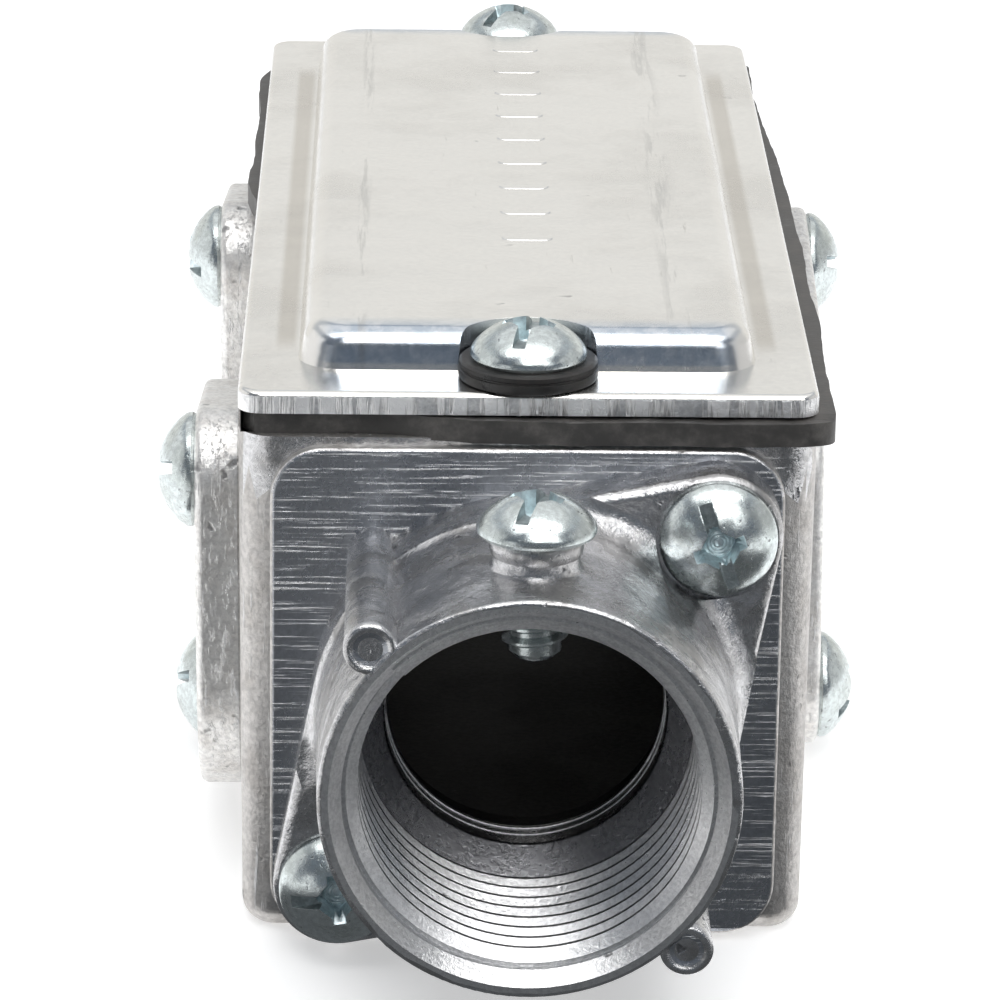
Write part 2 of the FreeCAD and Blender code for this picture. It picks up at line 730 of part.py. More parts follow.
os.makedirs("parts", exist_ok=True)
for body in doc.findObjects("PartDesign::Body"):
    shape = body.Shape
    if shape.isNull() or not shape.isValid():
        raise RuntimeError(body.Label + " has no valid shape")
    shape.exportStep("parts/%s.step" % body.Label)
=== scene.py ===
import json
from math import ceil, hypot, pi, radians, sqrt

import bpy
from mathutils import Matrix, Vector, noise

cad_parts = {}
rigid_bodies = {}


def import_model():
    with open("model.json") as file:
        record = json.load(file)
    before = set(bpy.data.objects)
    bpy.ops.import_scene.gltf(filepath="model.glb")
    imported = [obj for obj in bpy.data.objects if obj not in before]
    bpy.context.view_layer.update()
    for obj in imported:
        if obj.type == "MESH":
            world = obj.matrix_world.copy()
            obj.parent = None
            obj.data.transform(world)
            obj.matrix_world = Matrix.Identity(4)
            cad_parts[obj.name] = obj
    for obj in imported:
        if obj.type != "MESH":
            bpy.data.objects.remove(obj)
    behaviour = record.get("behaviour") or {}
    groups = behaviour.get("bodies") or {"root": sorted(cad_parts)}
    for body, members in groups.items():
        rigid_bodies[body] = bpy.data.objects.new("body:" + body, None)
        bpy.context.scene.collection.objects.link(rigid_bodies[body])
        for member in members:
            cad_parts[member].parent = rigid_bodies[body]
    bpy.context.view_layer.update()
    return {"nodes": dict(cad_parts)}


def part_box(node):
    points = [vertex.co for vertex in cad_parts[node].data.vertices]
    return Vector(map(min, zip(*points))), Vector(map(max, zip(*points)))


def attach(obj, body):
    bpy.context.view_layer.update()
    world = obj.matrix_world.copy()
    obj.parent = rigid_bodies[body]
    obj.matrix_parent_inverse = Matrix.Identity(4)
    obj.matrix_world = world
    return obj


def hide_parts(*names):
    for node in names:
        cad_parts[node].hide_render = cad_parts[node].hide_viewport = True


# Conduit body: the imported solids, merged and refined, with threads, screw drives, a crept gasket, stamped
# marks, finishes, wear and some painted shade and reflection. Lengths are in millimetres and become metres
# through MM.

MM = 0.001

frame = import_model()
NODES = frame["nodes"]

for shown in bpy.context.selected_objects:
    shown.select_set(False)


def span(node):
    """A node's lowest and highest corners, in millimetres."""
    low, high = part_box(node)
    return Vector(low) / MM, Vector(high) / MM


# --------------------------------------------------------------------------------------------------
# Sizes
# --------------------------------------------------------------------------------------------------

HUB_LOW, HUB_HIGH = span("front_hub")
END_SEAT = -HUB_HIGH.y
HUB_LENGTH = HUB_HIGH.y - HUB_LOW.y
SEAT_HEIGHT = sum(corner.z for corner in span("right_closure")) / 2
COVER_HIGH = span("cover")[1]
HALF_WIDTH, HALF_LENGTH = COVER_HIGH.x, COVER_HIGH.y
GASKET_LOW, GASKET_HIGH = span("cover_gasket")
SHEET_TOP = span("cover_washer_front")[0].z

# heights nearer than TOUCH count as one, and an edge that climbs more than CLIMB stands upright
TOUCH = 0.01
CLIMB = 0.2
# radius of the ring that closes the pole of a turned piece
POLE = 0.02

# box: how far in from its outside a face counts as inside
INSIDE_FROM_SIDE = 0.9
INSIDE_FROM_END = 0.6
INSIDE_FROM_CORNER = 2.8
INSIDE_FROM_FLOOR = 1.0
OPENING_RADIUS = 11.2
BAND_UNDER_GASKET = 4.0

# screws
HEAD_RADIUS = 4.3
HEAD_HEIGHT = 3.0
HEAD_RIM = 0.75
HEAD_UNDERCUT = 0.35
HEAD_STEPS = 15
SHANK_RADIUS = 2.38
SHANK_ROOT = 1.9
SHANK_PITCH = 1.06
SHANK_TIP = 0.95
SCREW_EDGE = 0.06
SLOT_HALF = 0.47
SLOT_FLOOR = 1.75
WING_REACH = 1.3
WING_HALF = 0.3
WING_FLOOR = 1.5
SQUARE_HALF = 1.0
SQUARE_FLOOR = 0.9
DRIVE_TOP = 3.2
DRIVE_SPREAD = 37

# hub bore
THREAD_PITCH = 1.814
CREST_RADIUS = 12.2
ROOT_RADIUS = 13.0
THREAD_BACK = 13.9
THREAD_START = 4.4
MOUTH_RADIUS = 14.2
THROAT_RADIUS = 10.35
THROAT_DEPTH = THREAD_START + 0.6
# each lip's height in the throat and its half thickness
THROAT_LIPS = ((0.3, 0.16), (1.5, 0.1))

# hub outside
BARREL_RADIUS = 15.0
RIB_RADIUS = 1.87
RIB_STAND = 0.95
BOSS_RADIUS = 3.15
BOSS_RISE = 2.2
BOSS_BORE = SHANK_RADIUS + 0.1
HUB_EDGE = 0.2

# cover
SCREW_PLACE = -sum(corner.y for corner in span("cover_screw_front")) / 2
SHEET_THICK = SHEET_TOP - GASKET_HIGH.z
COVER_CORNER = 1.75
SHEET_ROUND = 0.5
SHEAR_DEPTH = 0.7
PANEL_SIDE = 4.2
PANEL_END = 5.5
PANEL_CORNER = 3.2
PANEL_LEAN = 0.7
PANEL_CREST = 1.3
PANEL_FOOT = 0.4
PANEL_EDGE = 0.3
SCALLOP = 5.2
SCREW_HOLE = SHANK_RADIUS + 0.25
HOLLOW_INSET = 1.4

# raised marks on the cover
BARS = 9
BAR_PITCH = 7.4
FIRST_BAR = Vector((0.35, 38, COVER_HIGH.z))
BAR_REACH = Vector((2.1, 1.0, 0))
BAR_CORNER = 0.9
BAR_RISE = 0.07
BAR_SUNK = 0.3
BAR_ROUND = 0.14

# gasket
GASKET_ROUND = 0.28
SIDE_PINCH = 1.3
LEFT_TUCK = 0.7
LEFT_BULGE = 1.45
FRONT_PINCH = 1.5
FRONT_SAG = 0.22
WANDER_RATE = 0.09
RIPPLE_RATE = 0.45


# --------------------------------------------------------------------------------------------------
# Helpers for pieces
# --------------------------------------------------------------------------------------------------


def pick(obj):
    """Makes obj the only selected object and the active one."""
    bpy.ops.object.select_all(action="DESELECT")
    obj.select_set(True)
    bpy.context.view_layer.objects.active = obj
    return obj


def apply(obj, kind, **settings):
    """Adds a modifier and applies it."""
    pick(obj)
    modifier = obj.modifiers.new(kind.lower(), kind)
    for key, value in settings.items():
        setattr(modifier, key, value)
    bpy.ops.object.modifier_apply(modifier=modifier.name)


def smooth(obj, angle=35.0):
    """Smooth shading up to an angle, with normals weighted by area."""
    pick(obj)
    bpy.ops.object.shade_smooth_by_angle(angle=radians(angle), keep_sharp_edges=False)
    apply(obj, "WEIGHTED_NORMAL", keep_sharp=True)


def soften(obj, width, segments, angle):
    """Bevels the edges that turn by more than an angle, in degrees."""
    apply(obj, "BEVEL", width=width * MM, segments=segments, limit_method="ANGLE",
          angle_limit=radians(angle), use_clamp_overlap=True)


def bake_place(obj):
    """Puts an object's place, turn and scale into its mesh."""
    pick(obj)
    bpy.ops.object.transform_apply(location=True, rotation=True, scale=True)


def close_up(obj, merge=0.001):
    """Merges doubles and points all faces outwards."""
    pick(obj)
    bpy.ops.object.mode_set(mode="EDIT")
    bpy.ops.mesh.select_all(action="SELECT")
    bpy.ops.mesh.remove_doubles(threshold=merge * MM)
    bpy.ops.mesh.normals_make_consistent(inside=False)
    bpy.ops.object.mode_set(mode="OBJECT")


def dress(obj, name, body, slot, *nodes):
    """Names a finished piece, hangs it on its body and hides the nodes it stands for."""
    obj.name = name
    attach(obj, body)
    if nodes:
        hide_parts(*nodes)


def body_of_node(node):
    """The body that a CAD node rides on."""
    return NODES[node].parent.name.replace("body:", "")


def placed_copy(pattern, place):
    """A copy of a pattern with its own mesh, put at its place."""
    made = pattern.copy()
    made.data = pattern.data.copy()
    bpy.context.scene.collection.objects.link(made)
    made.matrix_world = place
    bake_place(made)
    return made


def join(pieces):
    """Joins pieces into the last of them."""
    made = pick(pieces[-1])
    for piece in pieces:
        piece.select_set(True)
    bpy.ops.object.join()
    return made


def merged_copy(node, dissolve=None):
    """A copy of a CAD node with its doubles merged, and its flat facets joined where dissolve is given."""
    source = NODES[node]
    copy = source.copy()
    copy.data = source.data.copy()
    for key in [key for key in copy.keys() if key.startswith("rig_")]:
        del copy[key]
    bpy.context.scene.collection.objects.link(copy)
    pick(copy)
    bpy.ops.object.parent_clear(type="CLEAR_KEEP_TRANSFORM")
    bpy.ops.mesh.customdata_custom_splitnormals_clear()
    bpy.ops.object.mode_set(mode="EDIT")
    bpy.ops.mesh.select_all(action="SELECT")
    bpy.ops.mesh.remove_doubles(threshold=0.002 * MM)
    if dissolve:
        bpy.ops.mesh.dissolve_limited(angle_limit=radians(dissolve))
    bpy.ops.object.mode_set(mode="OBJECT")
    copy.data.materials.clear()
    return copy


def finish_faces(obj, base, *zones):
    """Gives every face the base material, then each zone's material where its test says so. A test reads
    the face's centre in millimetres and its normal."""
    obj.data.materials.append(base)
    for material, _ in zones:
        obj.data.materials.append(material)
    for face in obj.data.polygons:
        face.material_index = 0
        for index, (_, test) in enumerate(zones, start=1):
            if test(face.center / MM, face.normal):
                face.material_index = index


def turned(name, rings, sides=72):
    """A solid of revolution about Z: a disc drawn out ring by ring. Each ring is (radius, height)."""
    radius, height = rings[0]
    bpy.ops.object.select_all(action="DESELECT")
    bpy.ops.mesh.primitive_circle_add(vertices=sides, radius=radius * MM, fill_type="NGON",
                                      location=(0, 0, height * MM))
    made = bpy.context.object
    made.name = name
    bpy.ops.object.mode_set(mode="EDIT")
    bpy.ops.mesh.select_all(action="SELECT")
    for wide, high in rings[1:]:
        bpy.ops.mesh.extrude_region_move(TRANSFORM_OT_translate={"value": (0, 0, (high - height) * MM)})
        bpy.ops.transform.resize(value=(wide / radius, wide / radius, 1),
                                 center_override=(0, 0, high * MM))
        radius, height = wide, high
    bpy.ops.object.mode_set(mode="OBJECT")
    bake_place(made)
    close_up(made)
    return made


def helix(name, section, pitch, turns, steps):
    """A ridge that climbs round Z. section is its closed outline, as (radius, height) corners."""
    bpy.ops.object.select_all(action="DESELECT")
    bpy.ops.mesh.primitive_circle_add(vertices=len(section), radius=MM, fill_type="NOTHING")
    made = bpy.context.object
    made.name = name
    for corner, (radius, height) in zip(made.data.vertices, section):
        corner.co = Vector((radius, 0, height)) * MM
    apply(made, "SCREW", axis="Z", angle=2 * pi * turns, screw_offset=pitch * turns * MM, iterations=1,
          steps=ceil(steps * turns), render_steps=ceil(steps * turns), use_smooth_shade=True)
    bpy.ops.object.mode_set(mode="EDIT")
    bpy.ops.mesh.select_all(action="SELECT")
    bpy.ops.mesh.fill_holes(sides=0)
    bpy.ops.object.mode_set(mode="OBJECT")
    close_up(made)
    return made


def block(name, low, high, top_scale=(1, 1), turn=0.0):
    """A box between two corners, its top drawn in or out, turned about Z."""
    middle, size = (low + high) / 2, high - low
    bpy.ops.object.select_all(action="DESELECT")
    bpy.ops.mesh.primitive_cube_add(size=1, location=middle * MM, scale=size * MM)
    made = bpy.context.object
    made.name = name
    bake_place(made)
    for corner in made.data.vertices:
        if corner.co.z > middle.z * MM:
            corner.co.x *= top_scale[0]
            corner.co.y *= top_scale[1]
    made.rotation_euler = (0, 0, turn)
    bake_place(made)
    return made


def cut(obj, tool):
    """Takes tool's shape out of obj. The faces it leaves keep the tool's material."""
    apply(obj, "BOOLEAN", operation="DIFFERENCE", object=tool, solver="EXACT", material_mode="TRANSFER")
    bpy.data.objects.remove(tool)


def turned_ring(name, rings, bore, material):
    """A turned piece with a round hole through it, all of one material."""
    heights = [height for _, height in rings]
    ring = turned(name, rings)
    hole = turned("hole", [(bore, min(heights) - 1), (bore, max(heights) + 1)])
    for piece in (ring, hole):
        piece.data.materials.append(material)
    cut(ring, hole)
    return ring


def round_rim(obj, width, segments, chosen):
    """Rounds the edges of obj for which chosen(first corner, second corner) is true, in millimetres."""
    pick(obj)
    corners = [corner.co / MM for corner in obj.data.vertices]
    picked = {edge.index for edge in obj.data.edges if chosen(*(corners[end] for end in edge.vertices))}
    bpy.ops.object.mode_set(mode="EDIT")
    bpy.ops.mesh.select_mode(type="EDGE")
    bpy.ops.mesh.select_all(action="DESELECT")
    bpy.ops.object.mode_set(mode="OBJECT")
    for edge in obj.data.edges:
        edge.select = edge.index in picked
    bpy.ops.object.mode_set(mode="EDIT")
    bpy.ops.mesh.bevel(offset=width * MM, segments=segments, affect="EDGES", clamp_overlap=True)
    bpy.ops.object.mode_set(mode="OBJECT")


def upright(first, second):
    """A test for round_rim: the edge climbs."""
    return abs(first.z - second.z) > CLIMB


def along_top(height):
    """A test for round_rim: the edge runs round the top, which is at this height."""
    return lambda first, second: min(first.z, second.z) > height - TOUCH


# --------------------------------------------------------------------------------------------------
# Helpers for materials
# --------------------------------------------------------------------------------------------------


def add(tree, kind, inputs=None, **settings):
    """A node with its settings, and its inputs set to values or linked from other sockets."""
    made = tree.nodes.new("ShaderNode" + kind)
    for key, value in settings.items():
        setattr(made, key, value)
    for key, value in (inputs or {}).items():
        if isinstance(value, bpy.types.NodeSocket):
            tree.links.new(value, made.inputs[key])
        else:
            made.inputs[key].default_value = value
    return made


def blend(tree, factor, first, second):
    """The colour between first and second."""
    return add(tree, "Mix", {0: factor, 6: first, 7: second}, data_type="RGBA").outputs[2]


def math(tree, operation, first, second=0.0, clamp=False):
    """One step of sums on values."""
    made = add(tree, "Math", {0: first, 1: second}, operation=operation, use_clamp=clamp)
    return made.outputs[0]


def times(tree, first, second):
    """The product of two values."""
    return math(tree, "MULTIPLY", first, second)


def plus(tree, first, second):
    """The sum of two values."""
    return math(tree, "ADD", first, second)


def ramp(tree, value, low, high, out_low=0.0, out_high=1.0):
    """value carried from the range low..high to out_low..out_high, with soft ends."""
    made = add(tree, "MapRange", {"Value": value, "From Min": low, "From Max": high, "To Min": out_low,
                                  "To Max": out_high}, interpolation_type="SMOOTHSTEP")
    return made.outputs[0]


def scaled(tree, vector, scale):
    """A vector with each axis stretched by its own share."""
    return add(tree, "VectorMath", {0: vector, 1: scale}, operation="MULTIPLY").outputs[0]


def cloud(tree, vector, scale, detail, roughness):
    """Soft noise, about 0.5 on average."""
    made = add(tree, "TexNoise", {"Vector": vector, "Scale": scale, "Detail": detail,
                                  "Roughness": roughness})
    return made.outputs["Fac"]


def peaks(tree, value, share, level):
    """A mask of a noise's peaks, with firm edges: the larger the share, the more of them."""
    start = math(tree, "SUBTRACT", level, times(tree, share, PEAK_SHARE))
    return math(tree, "MULTIPLY", math(tree, "SUBTRACT", value, start), PEAK_GAIN, clamp=True)


def new_group(name, inputs, outputs):
    """An empty shader group with its sockets. Returns the tree, its inputs and its output node."""
    tree = bpy.data.node_groups.new(name, "ShaderNodeTree")
    for label, kind in inputs:
        tree.interface.new_socket(label, in_out="INPUT", socket_type="NodeSocket" + kind)
    for label, kind in outputs:
        tree.interface.new_socket(label, in_out="OUTPUT", socket_type="NodeSocket" + kind)
    return tree, tree.nodes.new("NodeGroupInput").outputs, tree.nodes.new("NodeGroupOutput")


def send(tree, out, **sockets):
    """Links sockets to a group's outputs of the same names."""
    for label, socket in sockets.items():
        tree.links.new(socket, out.inputs[label])


# noise level above which a scratch or a pit shows, the share's pull on it, and how firm a peak's edge is
SCRATCH_LEVEL = 0.72
PIT_LEVEL = 0.78
PEAK_SHARE = 0.4
PEAK_GAIN = 12.0

GRIME = (0.12, 0.12, 0.13, 1)
PIT_TONE = (0.06, 0.06, 0.07, 1)


def make_worn_metal():
    """Metal with a fine grain, patches of another tone, scratches along one direction, and dark pits."""
    tree, given, out = new_group("worn_metal", [
        ("Vector", "Vector"), ("Color", "Color"), ("Patch Color", "Color"), ("Patch Scale", "Float"),
        ("Patch Amount", "Float"), ("Grain Scale", "Float"), ("Grain Depth", "Float"),
        ("Scratch Run", "Vector"), ("Scratch Share", "Float"), ("Scratch Color", "Color"),
        ("Scratch Depth", "Float"), ("Pit Scale", "Float"), ("Pit Share", "Float"),
        ("Roughness", "Float"), ("Roughness Spread", "Float"), ("Grain Tint", "Float"),
        ("Swell Scale", "Float"), ("Swell Depth", "Float")],
        [("Color", "Color"), ("Roughness", "Float"), ("Normal", "Vector")])
    place = given["Vector"]
    patch = ramp(tree, cloud(tree, place, given["Patch Scale"], 5.0, 0.6), 0.42, 0.66)
    patch = times(tree, patch, given["Patch Amount"])
    grain = cloud(tree, place, given["Grain Scale"], 4.0, 0.65)
    streak = cloud(tree, scaled(tree, place, given["Scratch Run"]), 1.0, 4.0, 0.75)
    scratch = peaks(tree, streak, given["Scratch Share"], SCRATCH_LEVEL)
    pit = peaks(tree, cloud(tree, place, given["Pit Scale"], 2.0, 0.5), given["Pit Share"], PIT_LEVEL)
    swell = cloud(tree, place, given["Swell Scale"], 2.0, 0.5)

    tone = blend(tree, patch, given["Color"], given["Patch Color"])
    tint = times(tree, ramp(tree, grain, 0.35, 0.65), given["Grain Tint"])
    tone = blend(tree, tint, tone, GRIME)
    tone = blend(tree, scratch, tone, given["Scratch Color"])
    tone = blend(tree, times(tree, pit, 0.6), tone, PIT_TONE)

    swing = times(tree, math(tree, "SUBTRACT", grain, 0.5), given["Roughness Spread"])
    rough = plus(tree, given["Roughness"], swing)
    rough = math(tree, "ADD", rough, times(tree, patch, 0.1), clamp=True)

    height = times(tree, grain, given["Grain Depth"])
    height = plus(tree, height, times(tree, swell, given["Swell Depth"]))
    height = plus(tree, height, times(tree, scratch, given["Scratch Depth"]))
    height = math(tree, "SUBTRACT", height, times(tree, pit, given["Grain Depth"]))
    bump = add(tree, "Bump", {"Height": height, "Distance": MM, "Strength": 1.0})
    send(tree, out, Color=tone, Roughness=rough, Normal=bump.outputs[0])
    return tree


WORN_METAL = make_worn_metal()


# --------------------------------------------------------------------------------------------------
# Finishes, and tones of painted shade and reflection
# --------------------------------------------------------------------------------------------------

# the values that a finish starts from
PLAIN = dict(patch_scale=70.0, patch_amount=0.6, grain_scale=2200.0, grain_depth=0.03, grain_tint=0.25,
             scratch_run=(90.0, 2600.0, 2600.0), scratch_share=0.1, scratch_color=(0.9, 0.9, 0.9),
             scratch_depth=0.004, pit_scale=900.0, pit_share=0.12, roughness_spread=0.2,
             swell_scale=170.0, swell_depth=0.0)


def metal(name, **changes):
    """A metal finish: the worn metal group, with PLAIN's values and its own, on a metallic shader."""
    material = bpy.data.materials.new(name)
    material.use_nodes = True
    tree = material.node_tree
    shader = tree.nodes["Principled BSDF"]
    shader.inputs["Metallic"].default_value = 1.0
    place = add(tree, "TexCoord").outputs["Object"]
    group = add(tree, "Group", node_tree=WORN_METAL)
    tree.links.new(place, group.inputs["Vector"])
    for label, value in {**PLAIN, **changes}.items():
        socket = group.inputs[label.replace("_", " ").title()]
        socket.default_value = (*value, 1) if socket.type == "RGBA" else value
    for label in ("Roughness", "Normal"):
        tree.links.new(group.outputs[label], shader.inputs[label])
    tree.links.new(group.outputs["Color"], shader.inputs["Base Color"])
    return material


# a beige painted reflection of the flange where it tilts slightly beside the panel's foot
FOOT_REFLECTION_TONE = (0.6, 0.565, 0.51, 1)
# two bluish tones of painted reflection for the panel's end slopes, which mirror the dark zenith
END_SLOPE_REFLECTION_TONES = ((0.5, 0.58, 0.68, 1), (0.7, 0.75, 0.82, 1))
RUB_TONE = (0.5, 0.5, 0.49, 1)
# each rub mark's place across the cover and its reach to either side, in millimetres
RUBS = ((11.2, 1.4), (-12.4, 0.7))


def fade(tree, value, full, gone, most=1.0):
    """A mask that falls from most to 0 between two distances, in millimetres."""
    return ramp(tree, value, full * MM, gone * MM, most, 0.0)


def shade_and_rub_sheet(material):
    """Lays a beige band of painted reflection along the foot of the raised panel, paints a bluish, darker
    painted reflection on the panel towards its ends, and draws grey rub marks along its length."""
    tree = material.node_tree
    shader = tree.nodes["Principled BSDF"]
    tone = shader.inputs["Base Color"].links[0].from_socket
    place = add(tree, "TexCoord").outputs["Object"]
    way = add(tree, "SeparateXYZ", {0: place}).outputs
    aside = math(tree, "ABSOLUTE", way["X"])
    away = math(tree, "ABSOLUTE", way["Y"])
    side, end = HALF_WIDTH - PANEL_SIDE, HALF_LENGTH - PANEL_END

    # painted reflection: a beige band beside the panel's foot along its sides
    off = math(tree, "ABSOLUTE", math(tree, "SUBTRACT", aside, (side + 0.9) * MM))
    band = times(tree, fade(tree, off, 0.4, 1.0), fade(tree, away, 38, 43))
    band = times(tree, band, fade(tree, way["Z"], SHEET_TOP + 0.4, SHEET_TOP + 0.7, 0.75))
    tone = blend(tree, band, tone, FOOT_REFLECTION_TONE)

    # painted reflection: the panel turns bluish and darker towards its ends, where its slopes mirror the
    # dark zenith
    slope_reflection = ramp(tree, away, (end - 4.2) * MM, (end - 1.5) * MM)
    raised = ramp(tree, way["Z"], (SHEET_TOP + 0.3) * MM, (SHEET_TOP + 0.6) * MM)
    slope_reflection = times(tree, times(tree, slope_reflection, raised), fade(tree, aside, side - 3, side - 1.2, 0.85))
    speckle = ramp(tree, cloud(tree, place, 800.0, 4.0, 0.6), 0.4, 0.65)
    tone = blend(tree, slope_reflection, tone, blend(tree, speckle, *END_SLOPE_REFLECTION_TONES))

    drawn = scaled(tree, place, (900.0, 60.0, 60.0))
    smear = ramp(tree, cloud(tree, drawn, 1.0, 4.0, 0.6), 0.5, 0.62)
    for middle, reach in RUBS:
        off = math(tree, "ABSOLUTE", math(tree, "SUBTRACT", way["X"], middle * MM))
        tone = blend(tree, times(tree, fade(tree, off, 0.1, reach, 0.5), smear), tone, RUB_TONE)
    tree.links.new(tone, shader.inputs["Base Color"])


def rubber(name, color, dust, roughness):
    """Black rubber with a rubbed, dusty surface."""
    material = bpy.data.materials.new(name)
    material.use_nodes = True
    tree = material.node_tree
    shader = tree.nodes["Principled BSDF"]
    place = add(tree, "TexCoord").outputs["Object"]
    wipe = cloud(tree, place, 260.0, 6.0, 0.7)
    grit = cloud(tree, place, 2600.0, 3.0, 0.6)
    tone = blend(tree, ramp(tree, wipe, 0.4, 0.75), (*color, 1), (*dust, 1))
    rough = ramp(tree, wipe, 0.3, 0.7, roughness - 0.1, roughness + 0.12)
    bump = add(tree, "Bump", {"Height": grit, "Distance": 0.03 * MM, "Strength": 1.0})
    tree.links.new(tone, shader.inputs["Base Color"])
    tree.links.new(rough, shader.inputs["Roughness"])
    tree.links.new(bump.outputs[0], shader.inputs["Normal"])
    return material


CAST = metal("cast_metal", color=(0.7, 0.7, 0.71), patch_color=(0.36, 0.35, 0.34), patch_scale=260.0,
             patch_amount=0.7, roughness=0.23, grain_depth=0.06, scratch_share=0.22, scratch_depth=0.02,
             pit_share=0.24, swell_depth=0.55, swell_scale=210.0)
BOX = metal("box_metal", color=(0.68, 0.66, 0.64), patch_color=(0.44, 0.41, 0.38), patch_scale=330.0,
            patch_amount=0.4, roughness=0.46, grain_depth=0.1, scratch_run=(2400.0, 2400.0, 130.0),
            scratch_share=0.3, scratch_depth=0.05, pit_share=0.24, pit_scale=700.0, swell_depth=0.2)
PLATE = metal("plate_metal", color=(0.97, 0.96, 0.94), patch_color=(0.66, 0.62, 0.58), patch_scale=330.0,
              patch_amount=0.4, roughness=0.42, grain_depth=0.07, scratch_run=(2400.0, 2400.0, 130.0),
              scratch_share=0.4, scratch_depth=0.05, pit_share=0.3, pit_scale=700.0, swell_depth=0.3)
# the white scratches are real milling marks, brightened as painted glint
MILLED = metal("milled_metal", color=(0.5, 0.52, 0.56), patch_color=(0.34, 0.36, 0.4),
               scratch_run=(75.0, 4200.0, 4200.0), scratch_share=0.4, scratch_color=(1.0, 1.0, 1.0),
               scratch_depth=0.07, roughness=0.28, pit_share=0.16, grain_depth=0.02)
BORED = metal("bored_metal", color=(0.92, 0.92, 0.92), patch_color=(0.62, 0.62, 0.63), grain_depth=0.04,
              roughness=0.3, scratch_share=0.16, scratch_run=(900.0, 2200.0, 900.0), grain_scale=3200.0)
# the throat's darker tone is painted shade deeper in the bore
THROAT_SHADE = metal("throat_metal", color=(0.5, 0.5, 0.52), patch_color=(0.3, 0.3, 0.32), grain_depth=0.04,
               roughness=0.26, scratch_share=0.2, patch_scale=260.0)
# near-black painted shade for the box's cavity and the openings into the hubs, where little light gets in
INSIDE_SHADE = metal("dark_casting", color=(0.01, 0.0095, 0.009), patch_color=(0.006, 0.006, 0.006),
             scratch_share=0.0, scratch_color=(0.03, 0.03, 0.03), roughness=0.6)
SHEET = metal("cover_sheet", color=(0.9, 0.89, 0.865), patch_color=(0.8, 0.78, 0.74), patch_scale=60.0,
              grain_tint=0.03, grain_depth=0.006, scratch_run=(1300.0, 90.0, 1300.0), scratch_share=0.14,
              scratch_color=(0.68, 0.67, 0.64), roughness=0.22, roughness_spread=0.1, pit_share=0.06,
              pit_scale=500.0, swell_depth=0.12, swell_scale=120.0)
SHEARED = metal("sheared_edge", color=(0.86, 0.86, 0.86), patch_color=(0.4, 0.42, 0.45),
                patch_scale=300.0, scratch_run=(800.0, 800.0, 60.0), scratch_share=0.7,
                scratch_color=(1.0, 1.0, 1.0), scratch_depth=0.3, roughness=0.42, grain_depth=0.12)
ZINC = metal("zinc_plate", color=(0.74, 0.8, 0.8), patch_color=(0.56, 0.61, 0.58), patch_scale=380.0,
             patch_amount=0.5, grain_depth=0.016, roughness=0.24, scratch_share=0.04, pit_scale=2600.0,
             pit_share=0.26, swell_depth=0.02, swell_scale=400.0)
ZINC_RECESS = metal("zinc_recess", color=(0.84, 0.94, 0.96), patch_color=(0.7, 0.82, 0.86),
                    patch_scale=600.0, grain_depth=0.02, roughness=0.36)
# the slot's darker tone is painted shade in the slot
ZINC_SLOT_SHADE = metal("zinc_slot", color=(0.5, 0.56, 0.57), patch_color=(0.2, 0.24, 0.25), patch_scale=900.0,
                  grain_depth=0.12, roughness=0.42, scratch_share=0.3)
GASKET = rubber("gasket_rubber", (0.04, 0.038, 0.036), (0.12, 0.112, 0.104), 0.46)
WASHER = rubber("washer_rubber", (0.01, 0.01, 0.01), (0.03, 0.025, 0.022), 0.34)
shade_and_rub_sheet(SHEET)


# --------------------------------------------------------------------------------------------------
# Box and closures
# --------------------------------------------------------------------------------------------------


def on_end_pad(centre, normal):
    """The flat pads that the hubs sit on, proud of the box's ends."""
    return abs(normal.y) > 0.9 and abs(centre.y) > (HALF_LENGTH + END_SEAT) / 2


def under_gasket(centre, normal):
    """The band across each end, just under the gasket."""
    near_top = centre.z > GASKET_LOW.z - BAND_UNDER_GASKET
    return near_top and abs(normal.y) > 0.5 and abs(centre.y) > HALF_LENGTH - 2


def on_side_seat(centre, normal):
    """The flat seats that the closures sit on, proud of the box's sides."""
    return abs(normal.x) > 0.9 and abs(centre.x) > HALF_WIDTH + 0.1


def inside_box(centre, normal):
    """The cavity's faces and the two openings into the hubs, which get near-black painted shade."""
    from_side, from_end = HALF_WIDTH - abs(centre.x), HALF_LENGTH - abs(centre.y)
    in_opening = (hypot(centre.x, centre.z - SEAT_HEIGHT) < OPENING_RADIUS
                  and abs(centre.y) < END_SEAT - TOUCH)
    in_depth = INSIDE_FROM_FLOOR < centre.z < GASKET_LOW.z - TOUCH
    in_walls = (from_side > INSIDE_FROM_SIDE and from_end > INSIDE_FROM_END
                and max(from_side, from_end) > INSIDE_FROM_CORNER)
    return in_opening or (in_depth and in_walls)


box = merged_copy("body")
finish_faces(box, BOX, (CAST, under_gasket), (MILLED, on_end_pad), (MILLED, on_side_seat),
             (INSIDE_SHADE, inside_box))
smooth(box)
dress(box, "cast_box", "conduit_body", "cast_metal", "body")

for closure in ("left_front_closure", "left_rear_closure", "right_closure"):
    plate = merged_copy(closure)
    finish_faces(plate, PLATE)
    smooth(plate)
    dress(plate, closure + "_plate", "conduit_body", "cast_metal", closure)


# --------------------------------------------------------------------------------------------------
# Hubs
# --------------------------------------------------------------------------------------------------


def hub_place(end):
    """The front hub's frame for end -1, the rear hub's for end 1: its bore runs along the local Z."""
    turn = Matrix.Rotation(0 if end < 0 else pi, 4, "Z") @ Matrix.Rotation(pi / 2, 4, "X")
    return Matrix.Translation(Vector((0, end * END_SEAT, SEAT_HEIGHT)) * MM) @ turn


def in_bore(centre, normal):
    """The bore's wall, from the hub's seat to its mouth."""
    radius = hypot(centre.x, centre.z - SEAT_HEIGHT)
    return radius < MOUTH_RADIUS and END_SEAT + 0.05 < abs(centre.y)


def in_throat(centre, normal):
    """The plain inner stretch of the bore, before the thread, darkened with painted shade."""
    return in_bore(centre, normal) and abs(centre.y) < END_SEAT + THROAT_DEPTH


